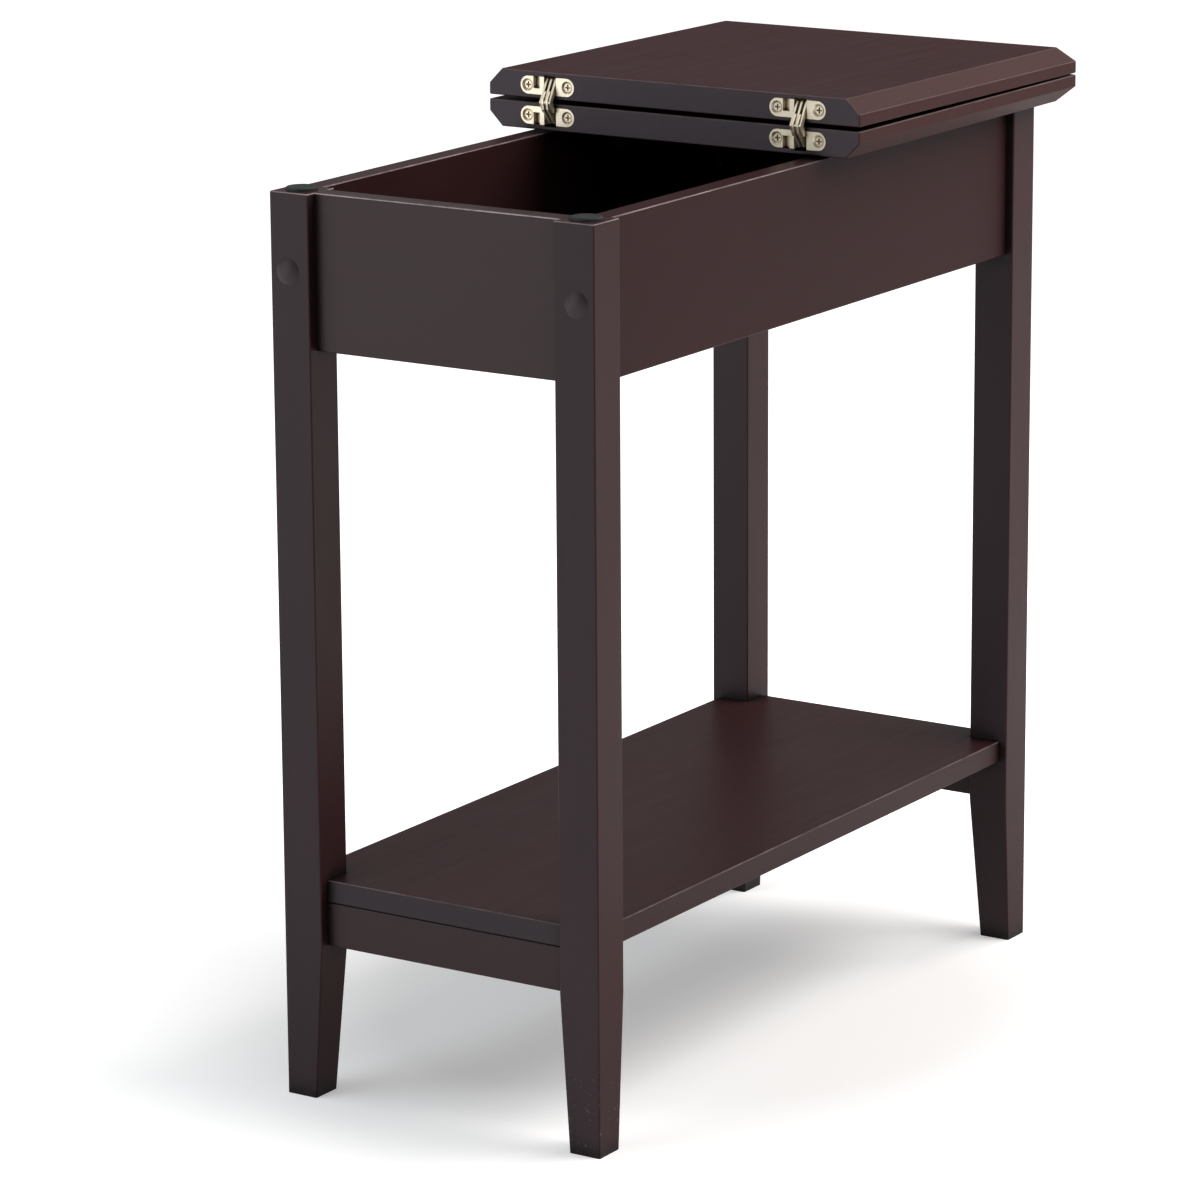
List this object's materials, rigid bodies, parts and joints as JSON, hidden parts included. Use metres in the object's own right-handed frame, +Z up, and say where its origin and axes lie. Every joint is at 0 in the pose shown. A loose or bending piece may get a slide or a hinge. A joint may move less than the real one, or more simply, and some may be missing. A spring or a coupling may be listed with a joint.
{
  "type": "fold-over top end table",
  "caption": "Narrow wooden end table with tapered legs, a low shelf and a storage box whose beveled top folds back on concealed hinges.",
  "frame": {"origin": "on the floor, below the middle of the object's box at rest (top folded open)", "axes": "+Z up; -Y is the front, the short side that opens; +X is the right-hand side seen from the front"},
  "size_m": [0.284, 0.573, 0.6308],
  "materials": {
    "espresso_wood": "satin dark brown stain",
    "plain_wood": "unfinished",
    "brown_plastic": "satin dark brown",
    "hinge_metal": "pale satin plate",
    "zinc_steel": "zinc plated",
    "rubber": "matt"
  },
  "bodies": {
    "frame": {"apron_back": "espresso_wood", "apron_dowels": "plain_wood", "apron_front": "espresso_wood", "apron_left": "espresso_wood", "apron_right": "espresso_wood", "bolt_cap_back_left": "brown_plastic", "bolt_cap_back_right": "brown_plastic", "bolt_cap_front_left": "brown_plastic", "bolt_cap_front_right": "brown_plastic", "cleat_screws": "zinc_steel", "cross_nuts": "zinc_steel", "fixed_top": "espresso_wood", "hinge_cup_fixed_left": "hinge_metal", "hinge_cup_fixed_right": "hinge_metal", "hinge_pivot_pin_fixed_left": "hinge_metal", "hinge_pivot_pin_fixed_right": "hinge_metal", "hinge_screws_fixed_left": "hinge_metal", "hinge_screws_fixed_right": "hinge_metal", "leg_back_left": "espresso_wood", "leg_back_right": "espresso_wood", "leg_bolts": "zinc_steel", "leg_front_left": "espresso_wood", "leg_front_right": "espresso_wood", "rail_dowels": "plain_wood", "shelf_board": "espresso_wood", "shelf_rail_back": "espresso_wood", "shelf_rail_front": "espresso_wood", "shelf_screws": "zinc_steel", "storage_floor": "espresso_wood", "top_cleat_left": "espresso_wood", "top_cleat_right": "espresso_wood", "top_pad_back_left": "rubber", "top_pad_back_right": "rubber", "top_pad_front_left": "rubber", "top_pad_front_right": "rubber", "top_screws": "zinc_steel"},
    "folding_half": {"flip_top": "espresso_wood", "hinge_cup_flip_left": "hinge_metal", "hinge_cup_flip_right": "hinge_metal", "hinge_pivot_pin_flip_left": "hinge_metal", "hinge_pivot_pin_flip_right": "hinge_metal", "hinge_screws_flip_left": "hinge_metal", "hinge_screws_flip_right": "hinge_metal"},
    "left_hinge_fixed_links": {"hinge_links_fixed_left": "hinge_metal", "hinge_cross_pin_left": "hinge_metal"},
    "left_hinge_flip_links": {"hinge_links_flip_left": "hinge_metal"},
    "right_hinge_fixed_links": {"hinge_links_fixed_right": "hinge_metal", "hinge_cross_pin_right": "hinge_metal"},
    "right_hinge_flip_links": {"hinge_links_flip_right": "hinge_metal"}
  },
  "joints": [
    {"name": "lid_fold", "type": "hinge", "parent": "frame", "child": "folding_half", "pos_m": [0, -0.0075, 0.6114], "axis": [1, 0, 0], "range_deg": [0, 180.35]},
    {"name": "left_fixed_links_swing", "type": "hinge", "parent": "frame", "child": "left_hinge_fixed_links", "pos_m": [0, -0.004, 0.6056], "axis": [1, 0, 0], "range_deg": [0, 106.5]},
    {"name": "left_flip_links_swing", "type": "hinge", "parent": "folding_half", "child": "left_hinge_flip_links", "pos_m": [0, -0.00396, 0.61718], "axis": [1, 0, 0], "range_deg": [-106.5, 0]},
    {"name": "right_fixed_links_swing", "type": "hinge", "parent": "frame", "child": "right_hinge_fixed_links", "pos_m": [0, -0.004, 0.6056], "axis": [1, 0, 0], "range_deg": [0, 106.5]},
    {"name": "right_flip_links_swing", "type": "hinge", "parent": "folding_half", "child": "right_hinge_flip_links", "pos_m": [0, -0.00396, 0.61718], "axis": [1, 0, 0], "range_deg": [-106.5, 0]}
  ],
  "couplings": [
    {"joint": "left_fixed_links_swing", "follows": "lid_fold", "ratio": 0.59007},
    {"joint": "left_flip_links_swing", "follows": "lid_fold", "ratio": -0.59007},
    {"joint": "right_fixed_links_swing", "follows": "lid_fold", "ratio": 0.59007},
    {"joint": "right_flip_links_swing", "follows": "lid_fold", "ratio": -0.59007}
  ]
}
